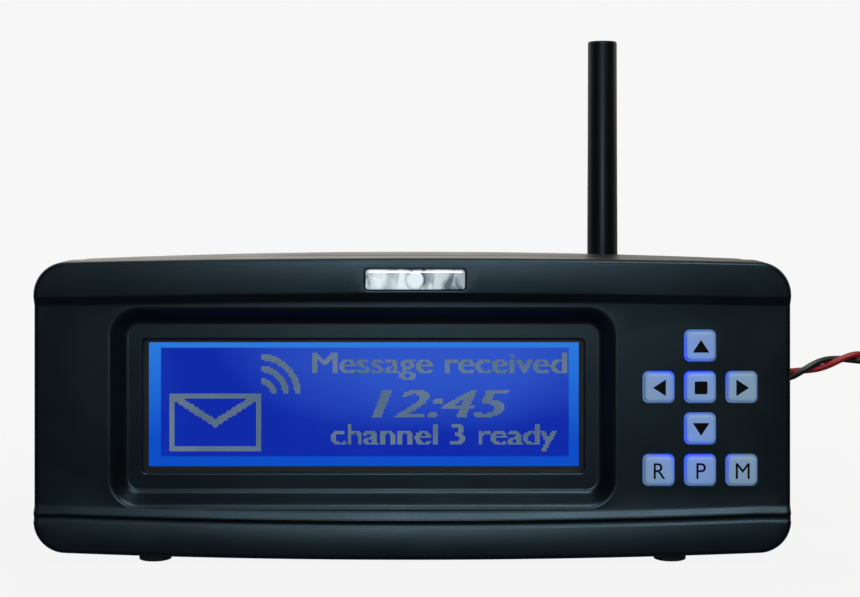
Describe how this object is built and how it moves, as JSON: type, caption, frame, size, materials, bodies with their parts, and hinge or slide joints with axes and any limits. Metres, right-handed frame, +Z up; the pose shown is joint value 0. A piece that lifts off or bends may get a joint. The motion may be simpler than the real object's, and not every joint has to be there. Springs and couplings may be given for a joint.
{
  "type": "desk-top paging data terminal",
  "caption": "Wide shallow paging terminal with a blue dot-matrix display in a sloping recess, small lit keys, a tilting rod antenna behind and a twisted power lead.",
  "frame": {"origin": "on the resting surface, below the middle of the terminal's width and of its depth from the key caps to the back of the antenna", "axes": "+X to the viewer's right along the width, +Y from the display to the back, +Z up"},
  "size_m": [0.3332, 0.0744, 0.1645],
  "materials": {
    "case_plastic": "fine spark-eroded moulded texture, black",
    "rubber": "matt black moulded rubber",
    "clear_window": "clear polished acrylic",
    "black_frame": "black-coated steel display frame",
    "blue_display": "blue negative liquid crystal display, lit from behind",
    "diffuser": "milky light-spreading plastic",
    "circuit_board": "green solder resist",
    "ribbon": "grey flat ribbon",
    "key_plastic": "pale translucent moulded key, lit blue from below",
    "tinned_steel": "tinned sheet",
    "component_plastic": "moulded black component",
    "brass": "machined, bright",
    "screw_steel": "zinc-plated",
    "antenna_sleeve": "satin black moulded elastomer",
    "copper_wire": "copper-plated steel wire",
    "red_vinyl": "red and black insulated wires, twisted together",
    "black_tie": "moulded nylon tie",
    "plug_nylon": "natural nylon"
  },
  "bodies": {
    "root": {"front_bezel": "case_plastic", "rear_shell": "case_plastic", "display_window": "clear_window", "display_frame": "black_frame", "display_glass": "blue_display", "display_backlight": "diffuser", "display_board": "circuit_board", "display_ribbon": "ribbon", "indicator_lens": "clear_window", "indicator_led": "diffuser", "keypad_board": "circuit_board", "key_light_upper": "diffuser", "key_light_lower": "diffuser", "main_board": "circuit_board", "receiver_can": "tinned_steel", "processor": "component_plastic", "voltage_regulator": "component_plastic", "buzzer": "component_plastic", "antenna_jack": "brass", "jack_nut": "brass", "antenna_coax": "rubber", "power_grommet": "rubber", "power_lead": "red_vinyl", "power_coil": "red_vinyl", "power_tail": "red_vinyl", "coil_tie": "black_tie", "power_plug": "plug_nylon", "switch_up": "component_plastic", "switch_left": "component_plastic", "switch_centre": "component_plastic", "switch_right": "component_plastic", "switch_down": "component_plastic", "switch_r": "component_plastic", "switch_p": "component_plastic", "switch_m": "component_plastic", "case_screw_1": "screw_steel", "board_screw_1": "screw_steel", "case_screw_2": "screw_steel", "board_screw_2": "screw_steel", "case_screw_3": "screw_steel", "board_screw_3": "screw_steel", "case_screw_4": "screw_steel", "board_screw_4": "screw_steel", "foot_front_left": "rubber", "foot_front_right": "rubber", "foot_rear_left": "rubber", "foot_rear_right": "rubber"},
    "key_up": {"key_up": "key_plastic"},
    "key_left": {"key_left": "key_plastic"},
    "key_centre": {"key_centre": "key_plastic"},
    "key_right": {"key_right": "key_plastic"},
    "key_down": {"key_down": "key_plastic"},
    "key_r": {"key_r": "key_plastic"},
    "key_p": {"key_p": "key_plastic"},
    "key_m": {"key_m": "key_plastic"},
    "antenna_swivel": {"antenna_coupler": "case_plastic", "antenna_pin": "screw_steel"},
    "antenna_whip": {"antenna_whip": "antenna_sleeve", "antenna_radiator": "copper_wire"}
  },
  "joints": [
    {"name": "key_up_press", "type": "slide", "parent": "root", "child": "key_up", "axis": [0, 1, 0], "range_m": [0, 0.001], "stiffness_N_per_m": 900},
    {"name": "key_left_press", "type": "slide", "parent": "root", "child": "key_left", "axis": [0, 1, 0], "range_m": [0, 0.001], "stiffness_N_per_m": 900},
    {"name": "key_centre_press", "type": "slide", "parent": "root", "child": "key_centre", "axis": [0, 1, 0], "range_m": [0, 0.001], "stiffness_N_per_m": 900},
    {"name": "key_right_press", "type": "slide", "parent": "root", "child": "key_right", "axis": [0, 1, 0], "range_m": [0, 0.001], "stiffness_N_per_m": 900},
    {"name": "key_down_press", "type": "slide", "parent": "root", "child": "key_down", "axis": [0, 1, 0], "range_m": [0, 0.001], "stiffness_N_per_m": 900},
    {"name": "key_r_press", "type": "slide", "parent": "root", "child": "key_r", "axis": [0, 1, 0], "range_m": [0, 0.001], "stiffness_N_per_m": 900},
    {"name": "key_p_press", "type": "slide", "parent": "root", "child": "key_p", "axis": [0, 1, 0], "range_m": [0, 0.001], "stiffness_N_per_m": 900},
    {"name": "key_m_press", "type": "slide", "parent": "root", "child": "key_m", "axis": [0, 1, 0], "range_m": [0, 0.001], "stiffness_N_per_m": 900},
    {"name": "antenna_swivel", "type": "hinge", "parent": "root", "child": "antenna_swivel", "pos_m": [0.064, 0.01775, 0.058], "axis": [0, 1, 0], "range_deg": [-90, 90]},
    {"name": "antenna_tilt", "type": "hinge", "parent": "antenna_swivel", "child": "antenna_whip", "pos_m": [0.064, 0.02875, 0.058], "axis": [-1, 0, 0], "range_deg": [0, 90]}
  ]
}
